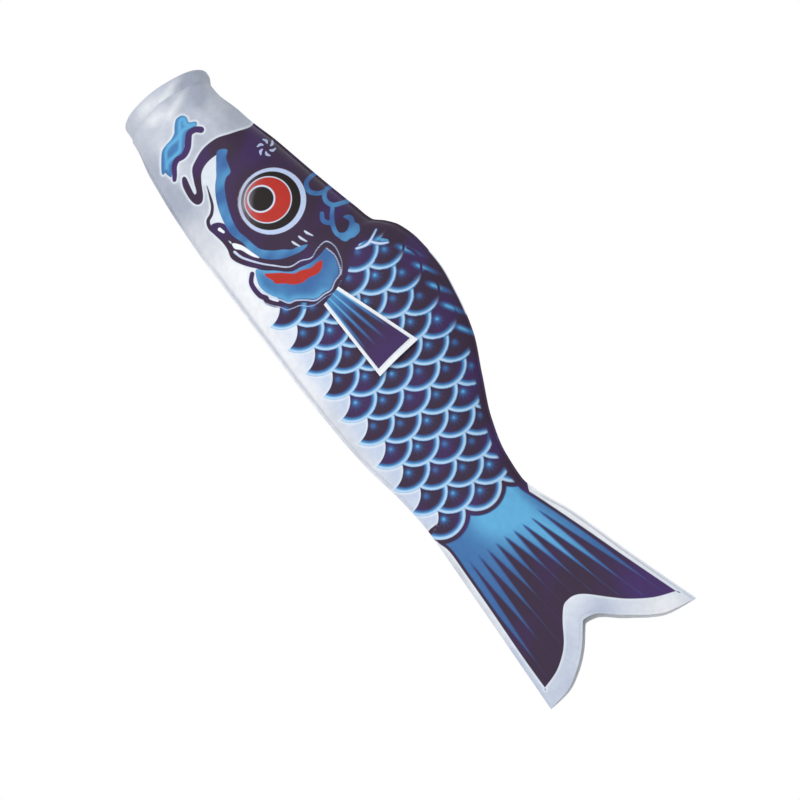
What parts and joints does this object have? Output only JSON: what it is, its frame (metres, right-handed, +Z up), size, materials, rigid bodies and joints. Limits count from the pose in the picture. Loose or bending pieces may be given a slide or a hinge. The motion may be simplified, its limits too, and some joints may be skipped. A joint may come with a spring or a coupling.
{
  "type": "carp streamer",
  "caption": "Carp-shaped cloth windsock with a hooped open mouth, humped back, forked open tail and pectoral fins, blue scale print on white.",
  "frame": {"origin": "centre of the mouth, in the plane of the mouth hem's front edge", "axes": "+X from the mouth to the tail, +Z up to the back of the fish, +Y to the fish's right; it flies level, with the left side at -Y"},
  "size_m": [0.7, 0.0936, 0.1772],
  "materials": {
    "printed_cloth": "satin",
    "plain_cloth": "satin",
    "fin_cloth": "satin",
    "hoop_plastic": "satin",
    "joiner_plastic": "satin"
  },
  "bodies": {
    "mouth_ring": {"mouth_hoop": "hoop_plastic", "hoop_joiner": "joiner_plastic", "mouth_hem": "plain_cloth"},
    "front_body": {"left_neck_cloth": "plain_cloth", "right_neck_cloth": "plain_cloth", "left_front_panel": "printed_cloth", "right_front_panel": "printed_cloth", "left_fin_root_hem": "plain_cloth", "right_fin_root_hem": "plain_cloth"},
    "rear_body": {"left_waist_cloth": "printed_cloth", "right_waist_cloth": "printed_cloth", "left_rear_panel": "printed_cloth", "right_rear_panel": "printed_cloth"},
    "tail": {"left_tail_root_cloth": "printed_cloth", "right_tail_root_cloth": "printed_cloth", "left_tail_panel": "printed_cloth", "right_tail_panel": "printed_cloth", "left_tail_hem": "plain_cloth", "right_tail_hem": "plain_cloth"},
    "left_fin": {"left_pectoral_fin": "fin_cloth"},
    "right_fin": {"right_pectoral_fin": "fin_cloth"}
  },
  "joints": [
    {"name": "mouth_sway", "type": "hinge", "parent": "mouth_ring", "child": "front_body", "pos_m": [0.021, 0, 0], "axis": [0, 0, 1], "range_deg": [-15, 15], "stiffness_Nm_per_rad": 0.2, "deforming": ["left_neck_cloth", "right_neck_cloth"]},
    {"name": "body_sway", "type": "hinge", "parent": "front_body", "child": "rear_body", "pos_m": [0.37, 0, 0], "axis": [0, 0, 1], "range_deg": [-25, 25], "stiffness_Nm_per_rad": 0.05, "deforming": ["left_waist_cloth", "right_waist_cloth"]},
    {"name": "tail_sway", "type": "hinge", "parent": "rear_body", "child": "tail", "pos_m": [0.512, 0, 0], "axis": [0, 0, 1], "range_deg": [-35, 35], "stiffness_Nm_per_rad": 0.02, "deforming": ["left_tail_root_cloth", "right_tail_root_cloth"]},
    {"name": "left_fin_flap", "type": "hinge", "parent": "front_body", "child": "left_fin", "pos_m": [0.259, -0.03685, 0.0135], "axis": [0, 0, -1], "range_deg": [0, 75], "stiffness_Nm_per_rad": 0.001},
    {"name": "right_fin_flap", "type": "hinge", "parent": "front_body", "child": "right_fin", "pos_m": [0.259, 0.03685, 0.0135], "axis": [0, 0, 1], "range_deg": [0, 75], "stiffness_Nm_per_rad": 0.001}
  ]
}
